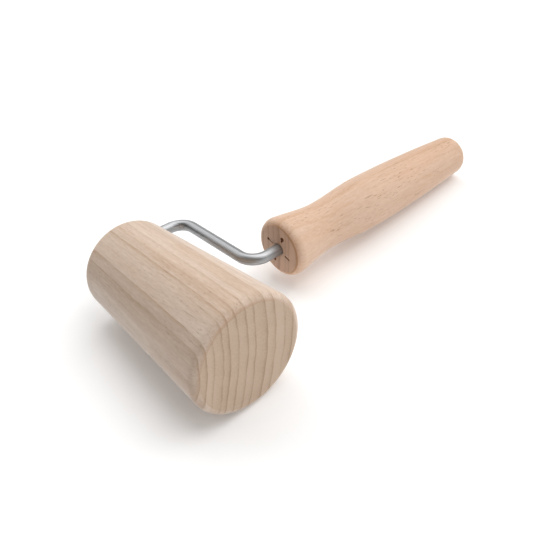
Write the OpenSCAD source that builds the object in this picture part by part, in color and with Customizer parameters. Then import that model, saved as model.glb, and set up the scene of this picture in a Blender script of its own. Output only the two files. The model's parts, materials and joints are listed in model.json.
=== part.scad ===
// Conical hand roller: a tapered beech roller that spins on a bent steel wire frame
// with a turned beech handle. Millimetres.
//
// Tool axes: X is the roller's axis, with the small end at x = 0, and +Y runs up the handle.
// place() then lays the tool down at rest on z = 0: on one line of the cone and on the handle's tip.

/* [Roller] */
// Length between the two flat ends
roller_len = 100; // [80:1:130]
// Cone diameter in the plane of the small end
small_d = 49.7; // [46:0.1:52]
// Cone diameter in the plane of the large end
large_d = 59.7; // [56:0.1:64]
// Rounding radius of both end edges
edge_r = 4; // [2:0.1:5]

/* [Wire frame] */
// Wire diameter
wire_d = 6.3; // [5:0.1:7]
// Radius of each bend, to the middle of the wire
bend_r = 9.5; // [8:0.1:11]
// Distance from the small end to the middle of the side arm
side_gap = 13; // [12:0.1:18]
// Distance from the roller's axis to the middle of the back arm
back_y = 44.4; // [42:0.1:50]
// Distance from the small end to the handle's axis
stem_x = 48.5; // [44:0.5:56]
// Length of axle inside the roller
axle_len = 86; // [80:1:87]
// Length of wire inside the handle
tang_len = 45; // [30:1:60]

/* [Tang fins] */
// Number of swaged fins
fin_count = 4; // [2:1:4]
// Thickness of a fin
fin_t = 1; // [0.6:0.1:1.4]
// Distance from the handle's axis to a fin's outer edge
fin_reach = 8.8; // [5:0.1:9.5]
// Depth of the fins below the handle's face
fin_depth = 6; // [4:0.5:10]
// Length of a fin along the wire
fin_len = 12; // [8:0.5:16]
// Angle of the first fin, from the roller's axis
fin_angle = 66; // [0:1:90]

/* [Handle] */
// Distance from the roller's axis to the handle's flat face
face_y = 62.6; // [58:0.1:70]
// Collar diameter, at the end of the face's rounding
collar_d = 32.9; // [31:0.1:34]
// Distance of the collar station from the face
collar_y = 5.2; // [4.5:0.1:6]
// Slope of the outline at the collar station
collar_slope = -0.1; // [-0.2:0.01:0]
// Rounding radius of the face's edge
face_edge_r = 6.1; // [5:0.1:7]
// Neck diameter
neck_d = 27; // [24:0.1:29]
// Distance of the neck from the face
neck_y = 31.3; // [26:0.1:36]
// Belly diameter
belly_d = 31.3; // [29:0.1:34]
// Distance of the belly from the face
belly_y = 66.5; // [58:0.1:75]
// Diameter where the tip's rounding starts
taper_d = 24.6; // [22:0.1:27]
// Distance of that point from the face
taper_y = 149; // [130:0.5:160]
// Slope of the outline there
taper_slope = -0.07; // [-0.1:0.01:-0.04]
// Rounding radius of the tip's edge
tip_edge_r = 3.8; // [3:0.1:5]
// Radius of the tip's shallow dome
tip_dome_r = 33; // [20:1:60]

/* [Bearings] */
// Outer diameter of the mouth bush
mouth_d = 14; // [12:0.5:16]
// Length of the mouth bush inside the roller
mouth_len = 10; // [8:0.5:11]
// Diameter of the mouth bush's flange
flange_d = 18; // [16:0.5:22]
// Thickness of that flange
flange_t = 1.5; // [1:0.1:2]
// Diameter of the deep bore and of the inner bush
deep_d = 10; // [9:0.5:11]
// Length of the inner bush
inner_len = 14; // [10:1:18]
// Radial running clearance between the axle and each bush
run_gap = 0.05; // [0.02:0.01:0.1]
// Diameter of the push-on retaining ring
ring_d = 12; // [11.5:0.1:12.5]
// Thickness of the ring
ring_t = 1; // [0.8:0.1:1.2]

/* [Hidden] */
$fn = 96;

beech = [0.84, 0.75, 0.68];
warm_beech = [0.86, 0.72, 0.61];
steel = [0.74, 0.74, 0.75];
nylon = [0.93, 0.92, 0.88];
spring_steel = [0.55, 0.55, 0.57];

wire_r = wire_d / 2;
axle_chamfer = 0.8;
tang_chamfer = 1.2;
tang_end_gap = 1.5;
fin_nose = 3;         // slope at the inner end of a fin
fin_gap = 0.05;       // between a fin and its slot
ring_gap = 0.3;       // between the mouth bush and the ring
shoulder_x = 12;      // where the wide bore steps down to the deep bore
bore_end_x = 88;

// Cone: its half-angle, and its two edge roundings as tori about the axis
cone_angle = atan((large_d - small_d) / 2 / roller_len);
function cone_r(x) = small_d / 2 + x * tan(cone_angle);
// Ring radius of the torus that is centred at x, has radius edge_r and touches the cone from inside
function edge_ring(x) = cone_r(x) - edge_r / cos(cone_angle);
small_ring = edge_ring(edge_r);
large_ring = edge_ring(roller_len - edge_r);

// Points of an arc, as [distance along the axis, radius]
function arc(c, r, a0, a1, n) =
    [for (i = [0:n]) let (a = a0 + (a1 - a0) * i / n) [c[0] + r * cos(a), c[1] + r * sin(a)]];
// Centre of a rounding of radius r that touches the outline from inside at station p with slope m
function inset(p, m, r) = [p[0] + r * m / norm([1, m]), p[1] - r / norm([1, m])];
// Smooth curve between stations p and q with slopes m and k
function curve(p, q, m, k, n) =
    [for (i = [1:n]) let (t = i / n, h = q[0] - p[0]) [
        p[0] + t * h,
        (2 * t^3 - 3 * t^2 + 1) * p[1] + (t^3 - 2 * t^2 + t) * h * m
            + (3 * t^2 - 2 * t^3) * q[1] + (t^3 - t^2) * h * k
    ]];

// Handle outline: rounded face, collar, neck, belly, taper, rounded tip with a shallow dome
collar = [collar_y, collar_d / 2];
neck = [neck_y, neck_d / 2];
belly = [belly_y, belly_d / 2];
taper = [taper_y, taper_d / 2];
face_c = inset(collar, collar_slope, face_edge_r);
tip_c = inset(taper, taper_slope, tip_edge_r);
dome_c = [tip_c[0] - sqrt((tip_dome_r - tip_edge_r)^2 - tip_c[1]^2), 0];
handle_len = dome_c[0] + tip_dome_r;
dome_a = atan2(tip_c[1], tip_c[0] - dome_c[0]);
handle_outline = concat(
    [[0, 0]],
    arc(face_c, face_edge_r, acos(-face_c[0] / face_edge_r), atan2(1, -collar_slope), 8),
    curve(collar, neck, collar_slope, 0, 20),
    curve(neck, belly, 0, 0, 24),
    curve(belly, taper, 0, taper_slope, 40),
    arc(tip_c, tip_edge_r, atan2(1, -taper_slope), dome_a, 8),
    arc(dome_c, tip_dome_r, dome_a, 0, 6)
);

// Rest tilt b about the roller's axis: the tip's rounding comes down to the plane under the cone
function tip_height(b) =
    stem_x * sin(cone_angle) - (face_y + tip_c[0]) * cos(cone_angle) * sin(b)
    - tip_c[1] * sqrt(1 - (cos(cone_angle) * sin(b))^2) - tip_edge_r
    + small_d / 2 * cos(cone_angle);
function bisect(lo, hi, n) =
    let (mid = (lo + hi) / 2)
    n == 0 ? mid : tip_height(mid) > 0 ? bisect(mid, hi, n - 1) : bisect(lo, mid, n - 1);
rest_tilt = bisect(0, 20, 40);

// Reach of a torus along the unit vector e: its centre, axis, ring radius and tube radius
function reach(e, c, axis, ring, tube) = c * e + ring * sqrt(1 - (axis * e)^2) + tube;
row_x = [cos(cone_angle), sin(cone_angle) * sin(rest_tilt), -sin(cone_angle) * cos(rest_tilt)];
row_y = [0, cos(rest_tilt), sin(rest_tilt)];
bend_x = bend_r - side_gap;
x_max = reach(row_x, [roller_len - edge_r, 0, 0], [1, 0, 0], large_ring, edge_r);
x_min = -max([for (y = [bend_r, back_y - bend_r])
    reach(-row_x, [bend_x, y, 0], [0, 0, 1], bend_r, wire_r)]);
y_max = reach(row_y, [stem_x, face_y + dome_c[0], 0], [0, 1, 0], 0, tip_dome_r);
y_min = -large_ring - edge_r;
z_min = -small_d / 2 * cos(cone_angle);
row_origin = [(x_min + x_max) / 2, (y_min + y_max) / 2, z_min];

module place() {
    translate(-row_origin)
        rotate([0, -cone_angle, 0])
            rotate([-rest_tilt, 0, 0])
                children();
}

// Turned solid about the roller's axis, drawn as radius and distance
module along_x() {
    rotate([90, 0, 90])
        rotate_extrude()
            children();
}

module tube_x(x, len, d) {
    translate([x, 0, 0])
        rotate([0, 90, 0])
            cylinder(h = len, d = d);
}

module roller_blank() {
    along_x() {
        polygon([
            [0, 0],
            [small_ring, 0],
            [small_ring + edge_r * cos(cone_angle), edge_r - edge_r * sin(cone_angle)],
            [large_ring + edge_r * cos(cone_angle), roller_len - edge_r - edge_r * sin(cone_angle)],
            [large_ring, roller_len],
            [0, roller_len]
        ]);
        translate([small_ring, edge_r])
            circle(r = edge_r);
        translate([large_ring, roller_len - edge_r])
            circle(r = edge_r);
    }
}

module roller() {
    color(beech)
        place()
            difference() {
                roller_blank();
                tube_x(-1, shoulder_x + 1, mouth_d);
                tube_x(0, bore_end_x, deep_d);
            }
}

module mouth_bush() {
    color(nylon)
        place()
            difference() {
                union() {
                    tube_x(-flange_t, flange_t, flange_d);
                    tube_x(0, mouth_len, mouth_d);
                }
                tube_x(-flange_t - 1, mouth_len + flange_t + 2, wire_d + 2 * run_gap);
            }
}

module inner_bush() {
    color(nylon)
        place()
            difference() {
                tube_x(bore_end_x - inner_len, inner_len, deep_d);
                tube_x(bore_end_x - inner_len - 1, inner_len + 2, wire_d + 2 * run_gap);
            }
}

module retaining_ring() {
    color(spring_steel)
        place()
            difference() {
                tube_x(mouth_len + ring_gap, ring_t, ring_d);
                tube_x(mouth_len + ring_gap - 1, ring_t + 2, wire_d);
            }
}

// Quarter bend about centre c, starting at angle a
module bend(c, a) {
    translate([c[0], c[1], 0])
        rotate([0, 0, a])
            rotate_extrude(angle = 90)
                translate([bend_r, 0])
                    circle(d = wire_d);
}

// Straight length of wire from point p along X, or along Y where turn is 90, with one chamfered end
module rod(p, len, turn = 0, chamfer = 0) {
    translate([p[0], p[1], 0])
        rotate([0, 0, turn])
            rotate([0, 90, 0]) {
                cylinder(h = len - chamfer, d = wire_d);
                if (chamfer > 0)
                    translate([0, 0, len - chamfer])
                        cylinder(h = chamfer, d1 = wire_d, d2 = wire_d - 2 * chamfer);
            }
}

// One fin or its slot: a plate from the wire's axis outwards, in the handle's own direction
module fin_plate(y0, y1, reach, t, nose) {
    translate([0, 0, -t / 2])
        linear_extrude(t)
            polygon([[0, y0], [reach, y0], [reach, y1 - nose], [reach - nose / 2, y1], [0, y1]]);
}

module fins(y0, y1, reach, t, nose) {
    for (i = [0:fin_count - 1])
        translate([stem_x, face_y, 0])
            rotate([0, -fin_angle - i * 360 / fin_count, 0])
                fin_plate(y0, y1, reach, t, nose);
}

module wire_frame() {
    color(steel)
        place() {
            rod([bend_x, 0], axle_len - bend_x, 0, axle_chamfer);
            bend([bend_x, bend_r], 180);
            rod([-side_gap, bend_r], back_y - 2 * bend_r, 90);
            bend([bend_x, back_y - bend_r], 90);
            rod([bend_x, back_y], stem_x - bend_r - bend_x);
            bend([stem_x - bend_r, back_y + bend_r], 270);
            rod([stem_x, back_y + bend_r], face_y + tang_len - back_y - bend_r, 90, tang_chamfer);
            fins(fin_depth, fin_depth + fin_len, fin_reach, fin_t, fin_nose);
        }
}

module handle() {
    color(warm_beech)
        place()
            difference() {
                translate([stem_x, face_y, 0])
                    rotate([-90, 0, 0])
                        rotate_extrude()
                            polygon([for (p = handle_outline) [p[1], p[0]]]);
                translate([stem_x, face_y - 1, 0])
                    rotate([-90, 0, 0])
                        cylinder(h = tang_len + tang_end_gap + 1, d = wire_d);
                fins(-1, fin_depth + fin_len + fin_gap, fin_reach + fin_gap, fin_t + 2 * fin_gap,
                    fin_nose);
            }
}

roller();
mouth_bush();
inner_bush();
retaining_ring();
wire_frame();
handle();
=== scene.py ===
"""Tapered beech hand roller on a bent steel wire frame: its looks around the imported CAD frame.

Shapes are drawn in tool axes, in millimetres: X is the roller's axis with the small end at 0,
and +Y runs up the handle. tool_to_row places them in the row frame.
"""
import json
import math

import bmesh
import bpy
import numpy as np
from mathutils import Matrix, Vector


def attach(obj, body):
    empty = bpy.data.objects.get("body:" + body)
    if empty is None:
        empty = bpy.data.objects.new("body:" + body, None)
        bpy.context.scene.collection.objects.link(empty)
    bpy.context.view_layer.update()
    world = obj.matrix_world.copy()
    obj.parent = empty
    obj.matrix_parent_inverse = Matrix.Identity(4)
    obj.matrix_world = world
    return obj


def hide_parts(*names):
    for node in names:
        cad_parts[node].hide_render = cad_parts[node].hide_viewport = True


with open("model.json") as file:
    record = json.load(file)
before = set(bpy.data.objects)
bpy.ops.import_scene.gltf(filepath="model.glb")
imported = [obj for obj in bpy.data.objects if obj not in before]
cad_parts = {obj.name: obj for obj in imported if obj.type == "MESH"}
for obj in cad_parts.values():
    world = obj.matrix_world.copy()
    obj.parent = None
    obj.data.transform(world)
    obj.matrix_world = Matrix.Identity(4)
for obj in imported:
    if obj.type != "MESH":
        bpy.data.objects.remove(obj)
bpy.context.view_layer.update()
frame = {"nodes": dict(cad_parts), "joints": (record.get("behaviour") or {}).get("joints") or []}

MM = 0.001
REST_TILT = math.radians(4.0624)    # how far the handle falls to lay its tip on the surface

# Reading of turned outlines from the CAD meshes
FACING_LIMIT = 0.01                 # a normal less outward or inward than this is an end face's
SAME_STATION = 0.006                # corners this close along the axis are at one station
SAME_RADIUS = 0.03                  # corners this far under the largest radius count with it
POINT_RADIUS = 0.01                 # a smaller radius is a point on the axis

# Wire
BEND_R = 9.5                        # bends, to the wire's middle
AXLE_CHAMFER = 0.8
TANG_CHAMFER = 1.2
WIRE_STEP = 0.7
WIRE_SIDES = 56
PINCH_DEPTH = 0.45                  # marks that the bending tool left inside a bend
PINCH_SPACING = 2.0
PINCH_FOCUS = 6                     # the higher, the closer they keep to the bend's inside

# Fins on the tang, and the marks that they left in the handle's face
FIN_COUNT = 4
FIN_T = 1.0
FIN_NOSE = 3.0                      # length of a fin's slanted nose, which is half as wide
FIN_ANGLE = math.radians(66)
FIN_GAP = 0.05                      # around a fin in its pocket
FIN_START = 0.5                     # a corner this far outside the wire belongs to a fin
FIN_MARKS = (                       # inner end, width and radius of the torn spot at its outer end
    (5.4, 1.0, 1.25), (3.9, 0.45, 0.85), (3.3, 0.9, 1.05), (4.7, 0.75, 0),
)
MARK_DEPTH = 1.1
MARK_TAPER = 1.0                    # how much shorter a mark is at each end of its bottom
TORN_DEPTH = 1.7
TORN_FLARE = 1.4                    # a torn spot's radius where its cutter starts, outside the wood
TORN_TIP = 1 / 3                    # and at its bottom, both against its radius in the face
TORN_SIDES = 14
CUTTER_START = 1.0                  # how far outside the face the marks' cutters start

# Turning
OUTLINE_STEP = 0.6
ROLLER_SIDES = 192
HANDLE_SIDES = 160
MOUTH_BREAK = 0.4                   # broken edge around a hole's mouth
# Extra rings in the flat ends, as shares of the end's radius, keep the ends' shading flat
ROLLER_END_RINGS = (0.7, 0.95)
HANDLE_FACE_RING = 0.98
# How far the rounding of the handle's rim is eased into its flat face, and in how many steps
EASE_REACH = 2.3
EASE_STEPS = 6
MERGE_DISTANCE = 0.002 * MM         # vertices this close after a cut are one
SHARP_ANGLE = math.radians(40)      # edges that bend more than this are shaded as edges

# Camera, in the row frame
EYE = Vector((0.19793, -0.18796, 0.22123))
AIM = Vector((0.02187, -0.04743, 0.025))
CAMERA_ROLL = math.radians(-5.947)
LENS = 39.354

# Light and floor
LIGHT_SPREAD = math.radians(60)     # how broad each light looks from the object
HORIZON_TOP = 0.3                   # upward part of the direction where the room is at its darkest
FLOOR_SIZE = 6.0                    # from the middle to a side, in metres
FLOOR_WHITE = 0.93
FLOOR_GLOW = 0.12                   # stands in for light from the rest of a white room

# Wood surfaces are end grain, and show ring lines, from here to here of squareness to the grain
END_GRAIN = (0.95, 0.999)
END_LINES = (0.30, 0.85)
# Noise fields of the wood: waves per mm along the grain and across it, and a shift between fields
WOOD_FIELDS = {
    "wander": (0.008, 0.022, 0.0), "ripple": (0.02, 0.13, 7.0), "patches": (0.05, 0.10, 61.0),
    "fibre": (0.05, 1.05, 3.0), "fine": (0.33, 1.5, 29.0), "broad": (0.008, 0.12, 11.0),
    "blush": (0.015, 0.10, 23.0), "fleck": (0.26, 1.7, 5.0), "fleck_area": (0.03, 0.07, 17.0),
    "streak": (0.03, 0.75, 41.0),
}


# ---------------------------------------------------------------- frame

def tool_frame():
    """Matrix from tool axes to the row frame, from the roller's joint."""
    joint = frame["joints"][0]
    axis = Vector(joint["axis"]).normalized()
    cone_angle = math.atan2(axis.z, axis.x)
    turn = Matrix.Rotation(-cone_angle, 4, "Y") @ Matrix.Rotation(-REST_TILT, 4, "X")
    return Matrix.Translation(Vector(joint["pos_m"])) @ turn


tool_to_row = tool_frame()


def cad_corners(node):
    """Every face corner of a CAD node, as points in mm and normals, both in tool axes."""
    mesh = frame["nodes"][node].data
    back = np.array(tool_to_row.inverted())
    points = np.array([v.co for v in mesh.vertices])
    normals = np.array([n.vector for n in mesh.corner_normals])
    index = np.array([loop.vertex_index for loop in mesh.loops])
    points = (points @ back[:3, :3].T + back[:3, 3]) / MM
    return points[index], normals @ back[:3, :3].T


def turned_stations(node, axis, centre, facing):
    """Outline of a turned CAD solid as {distance along the axis: (radius, normal)}.

    facing is 1 for its outside and -1 for its bore, and normal is (along, outwards).
    """
    points, normals = cad_corners(node)
    offset = points - np.array(centre)
    along, side = offset[:, axis], np.delete(offset, axis, 1)
    radius = np.hypot(side[:, 0], side[:, 1])
    outward = (np.delete(normals, axis, 1) * side).sum(1) / np.maximum(radius, 1e-6)
    chosen = (outward * facing > FACING_LIMIT) & (radius > POINT_RADIUS)
    stations = {}
    for s in np.unique(along[chosen].round(2)):
        here = chosen & (np.abs(along - s) < SAME_STATION)
        here &= radius > radius[here].max() - SAME_RADIUS
        stations[float(s)] = (
            float(radius[here].mean()),
            (float(normals[here, axis].mean()), float(outward[here].mean())),
        )
    return stations


def smooth_outline(stations, step):
    """Dense points through the stations, along the slope that each station's normal gives."""
    keys = sorted(stations)
    points = []
    for a, b in zip(keys, keys[1:]):
        p, q = np.array((a, stations[a][0])), np.array((b, stations[b][0]))
        chord = np.linalg.norm(q - p)
        slopes = []
        for key in (a, b):
            along, outward = stations[key][1]
            slopes.append(np.array((outward, -along)) / math.hypot(along, outward) * chord)
        count = max(1, math.ceil(chord / step))
        for i in range(count):
            t = i / count
            points.append(
                (2 * t**3 - 3 * t**2 + 1) * p + (t**3 - 2 * t**2 + t) * slopes[0]
                + (3 * t**2 - 2 * t**3) * q + (t**3 - t**2) * slopes[1]
            )
    points.append(np.array((keys[-1], stations[keys[-1]][0])))
    return [(float(s), float(r)) for s, r in points]


# ---------------------------------------------------------------- mesh helpers

def new_mesh_object(name, vertices, faces, materials):
    """A smooth-shaded object from vertices in tool millimetres, placed in the row frame."""
    mesh = bpy.data.meshes.new(name)
    mesh.from_pydata([tool_to_row @ (Vector(v) * MM) for v in vertices], [], faces)
    mesh.polygons.foreach_set("use_smooth", [True] * len(mesh.polygons))
    for material in materials:
        mesh.materials.append(material)
    made = bpy.data.objects.new(name, mesh)
    bpy.context.scene.collection.objects.link(made)
    return made


def add_piece(piece, body, replaced):
    """Set a built piece's sharp edges, put it on the body it rides on and hide the CAD node it
    stands for.
    """
    piece.data.set_sharp_from_angle(angle=SHARP_ANGLE)
    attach(piece, body)
    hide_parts(replaced)


def apply_boolean(target, tools, operation):
    """Cut or join closed tool objects with the target's mesh, and delete them."""
    for tool in tools:
        modifier = target.modifiers.new(tool.name, "BOOLEAN")
        modifier.object = tool
        modifier.operation = operation
        modifier.solver = "EXACT"
    bpy.context.view_layer.update()
    evaluated = target.evaluated_get(bpy.context.evaluated_depsgraph_get())
    old = target.data
    name = old.name
    target.data = bpy.data.meshes.new_from_object(evaluated)
    target.modifiers.clear()
    bpy.data.meshes.remove(old)
    edit = bmesh.new()
    edit.from_mesh(target.data)
    bmesh.ops.remove_doubles(edit, verts=edit.verts, dist=MERGE_DISTANCE)
    bmesh.ops.dissolve_degenerate(edit, edges=edit.edges, dist=MERGE_DISTANCE)
    edit.to_mesh(target.data)
    edit.free()
    target.data.name = name
    for tool in tools:
        spare = tool.data
        bpy.data.objects.remove(tool)
        bpy.data.meshes.remove(spare)


def lathe(profile, axis, centre, segments):
    """Vertices and faces of a profile [(along, radius)] turned about an axis through centre."""
    vertices, faces, rows = [], [], []
    others = [i for i in range(3) if i != axis]
    for s, r in profile:
        count = 1 if r < POINT_RADIUS else segments
        row = []
        for i in range(count):
            angle = 2 * math.pi * i / segments
            point = list(centre)
            point[axis] += s
            point[others[0]] += r * math.cos(angle)
            point[others[1]] += r * math.sin(angle)
            row.append(len(vertices))
            vertices.append(point)
        rows.append(row)
    for a, b in zip(rows, rows[1:]):
        for i in range(segments):
            j = (i + 1) % segments
            corners = [a[i % len(a)], b[i % len(b)], b[j % len(b)], a[j % len(a)]]
            face = [v for k, v in enumerate(corners) if v not in corners[:k]]
            if len(face) > 2:
                faces.append(face if axis == 1 else face[::-1])
    return vertices, faces


def rounded_path(corners, radius, step):
    """Points and unit tangents along a flat path of right-angled corners, rounded to a radius."""
    corners = [Vector(c) for c in corners]
    path = []

    def add(point, tangent):
        if not path or (point - path[-1][0]).length > step / 10:
            path.append((point, tangent))

    start = corners[0]
    for before, corner, after in zip(corners, corners[1:], corners[2:] + [None]):
        tangent = (corner - before).normalized()
        end = corner if after is None else corner - tangent * radius
        count = math.ceil((end - start).length / step)
        for i in range(count + 1):
            add(start.lerp(end, i / count), tangent)
        if after is None:
            break
        outgoing = (after - corner).normalized()
        count = math.ceil(math.pi / 2 * radius / step)
        for i in range(1, count + 1):
            angle = math.pi / 2 * i / count
            add(end + (tangent * math.sin(angle) + outgoing * (1 - math.cos(angle))) * radius,
                tangent * math.cos(angle) + outgoing * math.sin(angle))
        start = corner + outgoing * radius
    return path


def prism(outline, thickness, place):
    """Closed plate: a flat outline [(x, y)], thick along z, moved by place(x, y, z)."""
    count = len(outline)
    vertices = [place(x, y, z) for z in (-thickness / 2, thickness / 2) for x, y in outline]
    faces = [tuple(reversed(range(count))), tuple(range(count, 2 * count))]
    faces += [(i, (i + 1) % count, count + (i + 1) % count, count + i) for i in range(count)]
    return vertices, faces


# ---------------------------------------------------------------- node graphs

class Graph:
    """Short names for building a material's node tree."""

    def __init__(self, name):
        self.material = bpy.data.materials.new(name)
        self.material.use_nodes = True
        self.tree = self.material.node_tree
        self.shader = self.tree.nodes["Principled BSDF"]

    def put(self, socket, value):
        """Link a value that is a socket, or else set the value."""
        if isinstance(value, bpy.types.NodeSocket):
            self.tree.links.new(value, socket)
        else:
            socket.default_value = value

    def node(self, kind, inputs=(), **settings):
        """A new node with these inputs and settings."""
        made = self.tree.nodes.new(kind)
        for key, value in settings.items():
            setattr(made, key, value)
        for key, value in dict(inputs).items():
            self.put(made.inputs[key], value)
        return made

    def finish(self, **values):
        """Set the shader's sockets by name, with _ for a space."""
        for key, value in values.items():
            self.put(self.shader.inputs[key.replace("_", " ")], value)
        return self.material

    def math(self, operation, a, b=0.0, c=0.0, clamp=False):
        made = self.node("ShaderNodeMath", {0: a, 1: b, 2: c}, operation=operation)
        made.use_clamp = clamp
        return made.outputs[0]

    def scaled_sum(self, terms, clamp=False):
        """Sum of value times weight."""
        total = 0.0
        for value, weight in terms:
            total = self.math("MULTIPLY_ADD", value, weight, total)
        total.node.use_clamp = clamp
        return total

    def combine(self, x, y, z):
        return self.node("ShaderNodeCombineXYZ", {0: x, 1: y, 2: z}).outputs[0]

    def steps(self, value, low, high, out_low=0.0, out_high=1.0):
        """value from low..high to out_low..out_high, eased at both ends and clamped."""
        made = self.node(
            "ShaderNodeMapRange",
            {"Value": value, "From Min": low, "From Max": high,
             "To Min": out_low, "To Max": out_high},
            interpolation_type="SMOOTHSTEP",
        )
        return made.outputs[0]

    def noise(self, vector, scale=1.0, detail=2.0, roughness=0.5):
        """Noise about zero, from -0.5 to 0.5."""
        made = self.node(
            "ShaderNodeTexNoise",
            {"Vector": vector, "Scale": scale, "Detail": detail, "Roughness": roughness},
        )
        return self.math("SUBTRACT", made.outputs[0], 0.5)

    def random(self, value):
        """One random value from 0 to 1 for each input value."""
        return self.node(
            "ShaderNodeTexWhiteNoise", {"W": value}, noise_dimensions="1D"
        ).outputs[0]

    def mix(self, factor, a, b, blend="MIX"):
        made = self.node("ShaderNodeMix", data_type="RGBA", blend_type=blend)
        self.put(made.inputs[0], factor)
        self.put(made.inputs[6], a)
        self.put(made.inputs[7], b)
        return made.outputs[2]

    def bump(self, height, strength, distance):
        return self.node(
            "ShaderNodeBump", {"Height": height, "Strength": strength, "Distance": distance}
        ).outputs[0]

    def tool_axes(self):
        """Sockets of the place in tool millimetres and of the normal in tool axes, split."""
        coords = self.node("ShaderNodeTexCoord")
        turn = tool_to_row.to_euler()
        place = self.node("ShaderNodeMapping", {
            "Vector": coords.outputs["Object"], "Location": tool_to_row.to_translation(),
            "Rotation": turn, "Scale": (MM, MM, MM),
        }, vector_type="TEXTURE").outputs[0]
        normal = self.node("ShaderNodeMapping", {
            "Vector": coords.outputs["Normal"], "Rotation": turn,
        }, vector_type="TEXTURE").outputs[0]
        split = [self.node("ShaderNodeSeparateXYZ", {0: v}).outputs for v in (place, normal)]
        return split[0], split[1]


def srgb(r, g, b):
    """A shader colour from 0..255 display values."""
    return tuple((c / 255) ** 2.2 for c in (r, g, b)) + (1.0,)


def extrapolate(a, b, factor):
    """Colour on the line from a to b, at a factor that may be outside 0..1."""
    return tuple(max(0.0, p + (q - p) * factor) for p, q in zip(a, b))


# ---------------------------------------------------------------- materials

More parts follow.
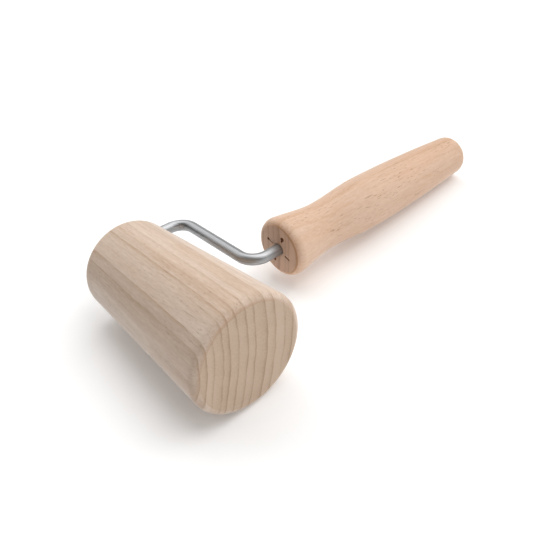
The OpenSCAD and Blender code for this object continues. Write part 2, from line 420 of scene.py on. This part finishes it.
def beech(name, grain, pith, lean, rings, colours, depths, crease_shade, seed):
    """Bare sanded beech, in tool millimetres.

    grain is the axis that the fibres follow, and pith the ring centre across it. lean is how far
    the rings shift for each millimetre along the grain, and the place where they haven't shifted.
    rings is a ring's width, its distance from the pith and how fast the width grows from there.
    colours are early, late, pore, end grain and ring line, and depths says how much each shows.
    crease says where painted shade darkens the crease at the end's rim: how square to the grain,
    and on which side.
    """
    early, late, pore, end_tint, line_tint = colours
    width, first, growth = rings
    window, crease_shade_side = crease_shade
    g = Graph(name)
    place, normal = g.tool_axes()
    along, across, up = place[grain], place[1 - grain], place[2]
    facing = g.math("ABSOLUTE", normal[grain])
    end_grain = g.steps(facing, *END_GRAIN)
    end_lines = g.steps(facing, *END_LINES)
    # Painted shade: a darker band along the crease where the end's rounding meets its flat face, on
    # one side of the rim only
    edge = g.math("MULTIPLY", g.steps(facing, *window[:2]), g.steps(facing, *window[2:], 1.0, 0.0))
    sideways = g.scaled_sum(((normal[1 - grain], crease_shade_side[0]), (normal[2], crease_shade_side[1])))
    painted_crease_shade = g.math("MULTIPLY", edge, g.steps(sideways, 0.0, 0.2))

    def field(name, **settings):
        """One of the wood's noise fields, drawn out along the grain."""
        long_scale, cross_scale, shift = WOOD_FIELDS[name]
        return g.noise(g.combine(
            g.math("MULTIPLY_ADD", along, long_scale, seed + shift),
            g.math("MULTIPLY", across, cross_scale), g.math("MULTIPLY", up, cross_scale),
        ), **settings)

    # Growth rings about a pith that wanders a little along the grain
    wander = field("wander")
    ripple = field("ripple")
    from_pith = g.node("ShaderNodeVectorMath", {0: g.combine(
        0.0, g.scaled_sum(((along, lean[0]), (across, 1.0), (1.0, -lean[0] * lean[1] - pith[0]))),
        g.math("SUBTRACT", up, pith[1]),
    )}, operation="LENGTH").outputs["Value"]
    ring_at = g.scaled_sum(((wander, 5.0), (ripple, 1.3), (from_pith, 1.0)))
    stretch = g.math("MULTIPLY_ADD", ring_at, growth / width, 1 - first * growth / width)
    count = g.math("DIVIDE", g.math("LOGARITHM", g.math("MAXIMUM", stretch, 0.01), math.e), growth)
    uneven = g.noise(g.combine(g.math("MULTIPLY", count, 0.7), seed, 0.0), detail=1.0)
    count = g.math("MULTIPLY_ADD", uneven, 1.6, count)
    phase = g.math("FRACT", count)
    ring_tone = g.random(g.math("FLOOR", g.math("ADD", count, seed)))
    close = g.steps(phase, 0.93, 1.0, 1.0, 0.0)
    late_band = g.math("MULTIPLY", g.steps(phase, 0.2, 0.95), close)
    late_line = g.math("MULTIPLY", g.steps(phase, 0.60, 0.93), close)
    patchy = g.steps(field("patches"), -0.22, 0.12, 0.35, 1.0)
    late_line = g.math("MULTIPLY", late_line, patchy)

    # Fibres and pores run along the grain
    fibre = field("fibre", detail=3.0, roughness=0.65)
    fine = field("fine")
    broad = field("broad")
    blush = field("blush")
    fleck_area = g.steps(field("fleck_area", detail=1.0), -0.16, 0.10)
    fleck = g.math("MULTIPLY", g.steps(field("fleck", detail=1.0), 0.13, 0.24), fleck_area)
    streak = g.steps(field("streak", detail=1.0), 0.20, 0.31)

    tone = g.scaled_sum((
        (g.math("MULTIPLY", late_band, ring_tone), depths["band"]), (late_line, depths["line"]),
        (ring_tone, depths["ring"]), (fibre, depths["fibre"]), (fine, depths["fine"]),
        (broad, depths["broad"]), (1.0, 0.25),
    ))
    low, high = -1.0, 2.0
    side = g.mix(g.steps(tone, low, high), extrapolate(early, late, low),
                 extrapolate(early, late, high))
    side = g.mix(g.steps(blush, -0.15, 0.2), side, depths["blush"], blend="MULTIPLY")
    side = g.mix(g.math("MULTIPLY", fleck, depths["fleck"]), side, pore)
    side = g.mix(g.math("MULTIPLY", streak, depths["streak"]), side, pore)

    # End grain is darker, its ring lines are sharper and its pores are dots
    dots = g.noise(g.combine(
        g.math("MULTIPLY", across, 1.3), g.math("MULTIPLY", up, 1.3), seed,
    ), detail=3.0, roughness=0.7)
    end_tone = g.scaled_sum((
        (late_line, 0.34), (late_band, 0.16), (ring_tone, 0.22), (dots, 0.9), (broad, 0.3),
        (1.0, -0.04),
    ), clamp=True)
    end = g.mix(end_tone, end_tint, line_tint)
    over_edge = g.math("MULTIPLY", g.math("MULTIPLY", late_line, end_lines), depths["edge_line"])
    colour = g.mix(over_edge, side, line_tint)
    colour = g.mix(g.math("MULTIPLY", end_grain, depths["end"]), colour, end)
    # Lay the painted crease shade over the colour
    colour = g.mix(g.math("MULTIPLY", painted_crease_shade, depths["crease_shade"]), colour, depths["crease_shade_tint"])

    height = g.scaled_sum((
        (fibre, 0.8), (fine, 0.5), (fleck, -0.6), (late_line, -0.3), (streak, -0.3),
    ))
    return g.finish(
        Base_Color=colour, Roughness=g.math("MULTIPLY_ADD", fibre, 0.18, 0.6),
        Normal=g.bump(height, 0.35, 0.00012), Specular_IOR_Level=0.3,
        Sheen_Weight=0.8, Sheen_Roughness=0.25,
    )


def scorched_beech(name):
    """The torn, browned wood inside the slots."""
    g = Graph(name)
    place, _ = g.tool_axes()
    shreds = g.noise(g.combine(
        g.math("MULTIPLY", place[0], 2.0), g.math("MULTIPLY", place[1], 0.5),
        g.math("MULTIPLY", place[2], 2.0),
    ), detail=3.0)
    colour = g.mix(g.steps(shreds, -0.3, 0.3), srgb(112, 74, 50), srgb(158, 114, 82))
    return g.finish(
        Base_Color=colour, Roughness=0.8, Normal=g.bump(shreds, 0.6, 0.0002),
        Specular_IOR_Level=0.2,
    )


def drawn_steel(name, uv_name):
    """Bright drawn wire: faint die lines along it, from the sweep's own (length, angle) map."""
    g = Graph(name)
    uv = g.node("ShaderNodeUVMap", uv_map=uv_name).outputs[0]
    split = g.node("ShaderNodeSeparateXYZ", {0: uv})
    turn = g.math("MULTIPLY", split.outputs[1], 2 * math.pi)
    cosine, sine = g.math("COSINE", turn), g.math("SINE", turn)

    def around(length_scale, turn_scale):
        return g.combine(
            g.math("MULTIPLY", split.outputs[0], length_scale),
            g.math("MULTIPLY", cosine, turn_scale), g.math("MULTIPLY", sine, turn_scale),
        )

    line = g.noise(around(3.0, 5.0), detail=2.0)
    blotch = g.noise(around(14.0, 1.0), detail=3.0)
    spots = g.noise(around(190.0, 3.0), detail=2.0)
    colour = g.mix(g.steps(line, -0.25, 0.25), srgb(150, 152, 154), srgb(178, 179, 180))
    colour = g.mix(g.steps(spots, 0.1, 0.3, 0.0, 0.25), colour, srgb(150, 148, 146))
    return g.finish(
        Base_Color=colour, Metallic=1.0,
        Roughness=g.scaled_sum(((blotch, 0.14), (line, 0.10), (1.0, 0.46))),
        Normal=g.bump(g.scaled_sum(((line, 1.0), (spots, 0.3))), 0.12, 0.00005),
    )


def plain_steel(name):
    """Dull spring steel."""
    g = Graph(name)
    coords = g.node("ShaderNodeTexCoord").outputs["Object"]
    cloud = g.noise(coords, scale=900.0, detail=3.0)
    colour = g.mix(g.steps(cloud, -0.3, 0.3), srgb(120, 120, 124), srgb(156, 156, 158))
    return g.finish(
        Base_Color=colour, Metallic=1.0, Roughness=g.math("MULTIPLY_ADD", cloud, 0.2, 0.38),
    )


def nylon(name):
    """Natural moulded nylon, slightly waxy."""
    g = Graph(name)
    coords = g.node("ShaderNodeTexCoord").outputs["Object"]
    cloud = g.noise(coords, scale=450.0)
    grain = g.noise(coords, scale=5000.0, detail=1.0)
    colour = g.mix(g.steps(cloud, -0.3, 0.3), srgb(232, 229, 218), srgb(242, 240, 232))
    return g.finish(
        Base_Color=colour, Roughness=g.math("MULTIPLY_ADD", grain, 0.12, 0.42),
        Normal=g.bump(grain, 0.2, 0.00003), Subsurface_Weight=0.15,
        Subsurface_Radius=(0.002, 0.002, 0.0015),
    )


# ---------------------------------------------------------------- pieces

def read_handle():
    """The handle's axis and the place of its flat face, from its CAD solid."""
    points, _ = cad_corners("handle")
    return float(points[:, 0].min() + points[:, 0].max()) / 2, float(points[:, 1].min())


def read_wire(stem_x, face_y):
    """Wire radius, the corners of its path, and the fins' reach and length, from its CAD solid."""
    points, _ = cad_corners("wire_frame")
    x, y, z = points.T
    wire_r = float(z[y < face_y].max())
    corner_x = float(x.min()) + wire_r
    back_y = float(y[x < stem_x / 2].max()) - wire_r
    corners = (
        (float(x.max()), 0, 0), (corner_x, 0, 0), (corner_x, back_y, 0),
        (stem_x, back_y, 0), (stem_x, float(y.max()), 0),
    )
    reach = np.hypot(x - stem_x, z)
    on_fin = (reach > wire_r + FIN_START) & (y > face_y)
    fin = (float(reach[on_fin].max()), float(y[on_fin].min()), float(y[on_fin].max()))
    return wire_r, corners, fin


def fin_direction(index):
    """Direction of a fin, square to the tang."""
    angle = FIN_ANGLE + 2 * math.pi * index / FIN_COUNT
    return Vector((math.cos(angle), 0, math.sin(angle)))


def fin_outline(root, fin):
    """Outline of a fin as (distance from the tang's axis, place along it)."""
    reach, low, high = fin
    return [
        (root, low), (reach, low), (reach, high - FIN_NOSE), (reach - FIN_NOSE / 2, high),
        (root, high),
    ]


def fin_plate(name, stem_x, index, outline, thickness, materials):
    """Closed plate in a fin's direction, from an outline like fin_outline's."""
    out = fin_direction(index)
    side = Vector((-out.z, 0, out.x))
    vertices, faces = prism(
        outline, thickness,
        lambda r, y, w: Vector((stem_x, y, 0)) + out * r + side * w,
    )
    return new_mesh_object(name + str(index), vertices, faces, materials)


def fin_cutters(stem_x, face_y, wire_r, fin, materials):
    """What the fins did to the handle: their pockets, and marks and torn spots in its face."""
    reach, low, high = fin
    pocket = fin_outline(wire_r / 2, (reach + FIN_GAP, low - FIN_GAP, high + FIN_GAP))
    start = face_y - CUTTER_START
    made = []
    for i, (inner, width, torn) in enumerate(FIN_MARKS):
        made.append(fin_plate("pocket", stem_x, i, pocket, FIN_T + 2 * FIN_GAP, materials))
        bottom = face_y + MARK_DEPTH
        mark = [(inner, start), (reach, start), (reach, face_y + MARK_DEPTH / 2),
                (reach - MARK_TAPER, bottom), (inner + MARK_TAPER, bottom)]
        made.append(fin_plate("mark", stem_x, i, mark, width, materials))
        if torn > 0:
            centre = Vector((stem_x, face_y, 0)) + fin_direction(i) * (reach - torn / 2)
            profile = [(-CUTTER_START, 0), (-CUTTER_START, torn * TORN_FLARE),
                       (TORN_DEPTH, torn * TORN_TIP), (TORN_DEPTH, 0)]
            vertices, faces = lathe(profile, 1, centre, TORN_SIDES)
            made.append(new_mesh_object("torn" + str(i), vertices, faces, materials))
    return made


def build_roller(wood):
    """The cone with its rounded edges, and the stepped blind bore behind its small end."""
    outside = smooth_outline(turned_stations("roller", 0, (0, 0, 0), 1), OUTLINE_STEP)
    bore = turned_stations("roller", 0, (0, 0, 0), -1)
    depths = sorted(bore)
    wide, narrow = bore[depths[0]][0], bore[depths[-1]][0]
    shoulder, bottom = depths[-2], depths[-1]
    length, flat = outside[-1]
    profile = [(bottom, 0), (bottom, narrow), (shoulder, narrow), (shoulder, wide)]
    profile += [(MOUTH_BREAK, wide), (0, wide + MOUTH_BREAK)]
    profile += [(0, wide + (outside[0][1] - wide) * t) for t in ROLLER_END_RINGS]
    profile += outside
    profile += [(length, flat * t) for t in reversed(ROLLER_END_RINGS)] + [(length, 0)]
    vertices, faces = lathe(profile, 0, (0, 0, 0), ROLLER_SIDES)
    roller = new_mesh_object("roller_cone", vertices, faces, [wood])
    add_piece(roller, "roller_body", "roller")


def eased_edge(outline, reach):
    """The outline with its first corner, at the flat face's rim, rounded over on both sides."""
    first = next(i for i, point in enumerate(outline) if math.dist(point, outline[0]) >= reach)
    end = Vector(outline[first])
    slope = Vector(outline[first + 1]) - Vector(outline[first - 1])
    corner = end - slope * (end.x / slope.x)
    start = corner - Vector((0, (end - corner).length))
    eased = []
    for i in range(EASE_STEPS):
        t = i / EASE_STEPS
        eased.append(tuple(start * (1 - t) ** 2 + corner * (2 * t * (1 - t)) + end * t ** 2))
    return eased + outline[first:]


def build_handle(stem_x, face_y, wire_r, fin, woods):
    """The turned handle with its tang hole, and what the fins cut into it."""
    centre = (stem_x, face_y, 0)
    outside = smooth_outline(turned_stations("handle", 1, centre, 1), OUTLINE_STEP)
    outside = eased_edge(outside, EASE_REACH)
    hole_end = max(turned_stations("handle", 1, centre, -1))
    tip = outside[-1]
    profile = [(hole_end, 0), (hole_end, wire_r), (MOUTH_BREAK, wire_r)]
    profile += [(0, wire_r + MOUTH_BREAK), (0, outside[0][1] * HANDLE_FACE_RING)] + outside
    if tip[1] > POINT_RADIUS:
        profile += [(tip[0], 0)]
    vertices, faces = lathe(profile, 1, centre, HANDLE_SIDES)
    handle = new_mesh_object("handle_turning", vertices, faces, woods)
    cutters = fin_cutters(stem_x, face_y, wire_r, fin, woods[::-1])
    apply_boolean(handle, cutters, "DIFFERENCE")
    add_piece(handle, "frame", "handle")


def pinch(length, angle, corner_length):
    """Depth of the marks inside the wire's bend, a few ripples across it."""
    depth = 0.0
    for i in (-1, 0, 1):
        offset = (length - corner_length - i * PINCH_SPACING) / (PINCH_SPACING / 3)
        depth += math.exp(-offset * offset)
    return PINCH_DEPTH * depth * max(0.0, math.cos(angle)) ** PINCH_FOCUS


def build_wire(wire_r, corners, fin, steel, uv_name):
    """The bent wire as one sweep from the axle's end to the tang's end, with its fins."""
    path = rounded_path(corners, BEND_R, WIRE_STEP)
    lengths = [0.0]
    for (a, _), (b, _) in zip(path, path[1:]):
        lengths.append(lengths[-1] + (b - a).length)
    second_bend = min(range(len(path)), key=lambda i: (path[i][0] - Vector(corners[2])).length)
    rows = [(path[0][0], path[0][1], wire_r - AXLE_CHAMFER, 0.0)]
    for (point, tangent), length in zip(path, lengths):
        if AXLE_CHAMFER < length < lengths[-1] - TANG_CHAMFER:
            rows.append((point, tangent, wire_r, length))
    start, end = path[0], path[-1]
    rows.insert(1, (start[0] + start[1] * AXLE_CHAMFER, start[1], wire_r, AXLE_CHAMFER))
    rows.append((end[0] - end[1] * TANG_CHAMFER, end[1], wire_r, lengths[-1] - TANG_CHAMFER))
    rows.append((end[0], end[1], wire_r - TANG_CHAMFER, lengths[-1]))

    up = Vector((0, 0, 1))
    vertices, faces = [start[0]], []
    for point, tangent, radius, length in rows:
        side = up.cross(tangent)
        for k in range(WIRE_SIDES):
            angle = 2 * math.pi * k / WIRE_SIDES
            inside = pinch(length, angle - math.pi, lengths[second_bend])
            r = radius - inside
            vertices.append(point + (side * math.cos(angle) + up * math.sin(angle)) * r)
    vertices.append(end[0])
    last = len(vertices) - 1
    for k in range(WIRE_SIDES):
        j = (k + 1) % WIRE_SIDES
        faces.append((0, 1 + j, 1 + k))
        top = last - WIRE_SIDES
        faces.append((last, top + k, top + j))
        for row in range(len(rows) - 1):
            base = 1 + row * WIRE_SIDES
            faces.append((base + k, base + j, base + WIRE_SIDES + j, base + WIRE_SIDES + k))
    wire = new_mesh_object("bent_wire", vertices, faces, [steel])
    add_wire_map(wire.data, uv_name, [row[3] for row in rows])
    outline = fin_outline(wire_r / 2, fin)
    plates = [
        fin_plate("fin", corners[-1][0], i, outline, FIN_T, [steel]) for i in range(FIN_COUNT)
    ]
    apply_boolean(wire, plates, "UNION")
    add_piece(wire, "frame", "wire_frame")


def add_wire_map(mesh, uv_name, row_lengths):
    """UV map of (length in metres, turn from 0 to 1) for the sweep's vertices."""
    layer = mesh.uv_layers.new(name=uv_name)
    count = len(row_lengths) * WIRE_SIDES
    for polygon in mesh.polygons:
        places = []
        for index in polygon.vertices:
            inner = min(max(index - 1, 0), count - 1)
            places.append((row_lengths[inner // WIRE_SIDES] * MM, inner % WIRE_SIDES / WIRE_SIDES))
        wraps = max(turn for _, turn in places) > 0.75 and min(turn for _, turn in places) < 0.25
        for loop, (length, turn) in zip(polygon.loop_indices, places):
            layer.data[loop].uv = (length, turn + 1 if wraps and turn < 0.5 else turn)


roller_wood = beech(
    "roller_beech", grain=0, pith=(-110.6, 17.7), lean=(0.04, 100.0), rings=(3.4, 83.1, 0.045),
    colours=(srgb(215, 195, 178), srgb(191, 166, 145), srgb(132, 100, 75),
             srgb(197, 174, 152), srgb(144, 113, 86)),
    depths={"band": 0.28, "line": 0.12, "ring": 0.3, "fibre": 0.8, "fine": 0.6, "broad": 0.9,
            # The crease entries give the strength and colour of painted shade along the large end's
            # crease
            "fleck": 0.32, "streak": 0.4, "end": 0.96, "edge_line": 0.28, "crease_shade": 0.42,
            "crease_shade_tint": srgb(170, 134, 106), "blush": (1.0, 0.97, 0.94, 1.0)},
    # Where that painted shade lies: on the upper side of the rim
    crease_shade=((0.82, 0.975, 0.985, 0.9999), (-0.3, 1.0)), seed=2.0,
)
handle_wood = beech(
    "handle_beech", grain=1, pith=(-118.0, 12.0), lean=(0.0, 0.0), rings=(3.6, 118.0, 0.01),
    colours=(srgb(221, 189, 165), srgb(203, 164, 134), srgb(144, 98, 68),
             srgb(207, 176, 154), srgb(156, 123, 104)),
    depths={"band": 0.2, "line": 0.03, "ring": 0.12, "fibre": 0.8, "fine": 0.65, "broad": 1.0,
            # The crease entries give the strength and colour of painted shade along the face's
            # crease
            "fleck": 0.6, "streak": 0.35, "end": 0.92, "edge_line": 0.06, "crease_shade": 0.7,
            "crease_shade_tint": srgb(176, 132, 92), "blush": (1.0, 0.965, 0.93, 1.0)},
    # Where that painted shade lies: mostly on the rim's +X side
    crease_shade=((0.84, 0.93, 0.97, 0.999), (1.0, 0.3)), seed=31.0,
)

stem_x, face_y = read_handle()
wire_r, corners, fin = read_wire(stem_x, face_y)
build_roller(roller_wood)
build_handle(stem_x, face_y, wire_r, fin, [handle_wood, scorched_beech("slot_wood")])
build_wire(wire_r, corners, fin, drawn_steel("wire_steel", "wire_map"), "wire_map")
for node, material in (
    ("mouth_bush", nylon("nylon")), ("inner_bush", nylon("nylon_inner")),
    ("retaining_ring", plain_steel("spring_steel")),
):
    frame["nodes"][node].data.materials[0] = material


# ---------------------------------------------------------------- floor, light and camera

def add_floor():
    """A pale matt floor at z = 0."""
    mesh = bpy.data.meshes.new("floor")
    signs = ((-1, -1), (1, -1), (1, 1), (-1, 1))
    mesh.from_pydata([(x * FLOOR_SIZE, y * FLOOR_SIZE, 0) for x, y in signs], [], [(0, 1, 2, 3)])
    floor = bpy.data.objects.new("floor", mesh)
    bpy.context.scene.collection.objects.link(floor)
    g = Graph("floor_paper")
    mesh.materials.append(g.finish(
        Base_Color=(FLOOR_WHITE, FLOOR_WHITE, FLOOR_WHITE, 1), Roughness=0.9,
        Specular_IOR_Level=0.1, Emission_Color=(1, 1, 1, 1), Emission_Strength=FLOOR_GLOW,
    ))


def add_sun(name, azimuth, elevation, strength):
    """A broad even light from a bearing from +X and a height, both in degrees."""
    light = bpy.data.lights.new(name, "SUN")
    light.angle = LIGHT_SPREAD
    light.energy = strength
    lamp = bpy.data.objects.new(name, light)
    bpy.context.scene.collection.objects.link(lamp)
    turn, rise = math.radians(azimuth), math.radians(elevation)
    out = Vector((math.cos(rise) * math.cos(turn), math.cos(rise) * math.sin(turn), math.sin(rise)))
    lamp.rotation_euler = out.to_track_quat("Z", "Y").to_euler()


def add_world(horizon, ceiling):
    """A room that is bright at the horizon and darker above."""
    world = bpy.data.worlds.new("studio")
    world.use_nodes = True
    tree = world.node_tree
    direction = tree.nodes.new("ShaderNodeTexCoord")
    split = tree.nodes.new("ShaderNodeSeparateXYZ")
    fade = tree.nodes.new("ShaderNodeMapRange")
    fade.interpolation_type = "SMOOTHSTEP"
    settings = {"From Min": 0.0, "From Max": HORIZON_TOP, "To Min": horizon, "To Max": ceiling}
    for key, value in settings.items():
        fade.inputs[key].default_value = value
    tree.links.new(direction.outputs["Generated"], split.inputs[0])
    tree.links.new(split.outputs[2], fade.inputs["Value"])
    tree.links.new(fade.outputs[0], tree.nodes["Background"].inputs[1])
    tree.nodes["Background"].inputs[0].default_value = (1, 1, 1, 1)
    bpy.context.scene.world = world


def add_camera():
    """The photo's camera."""
    data = bpy.data.cameras.new("camera")
    data.sensor_width = 36
    data.lens = LENS
    data.clip_start = 0.01
    camera = bpy.data.objects.new("camera", data)
    bpy.context.scene.collection.objects.link(camera)
    look = (AIM - EYE).to_track_quat("-Z", "Y").to_matrix().to_4x4()
    camera.matrix_world = Matrix.Translation(EYE) @ look @ Matrix.Rotation(CAMERA_ROLL, 4, "Z")
    bpy.context.scene.camera = camera


add_camera()
add_floor()
add_world(horizon=0.9, ceiling=0.0)
add_sun("right", 38, 40, 1.0)
add_sun("left", 180, 40, 1.25)
add_sun("back", 90, 65, 2.15)
bpy.context.scene.view_settings.view_transform = "Standard"
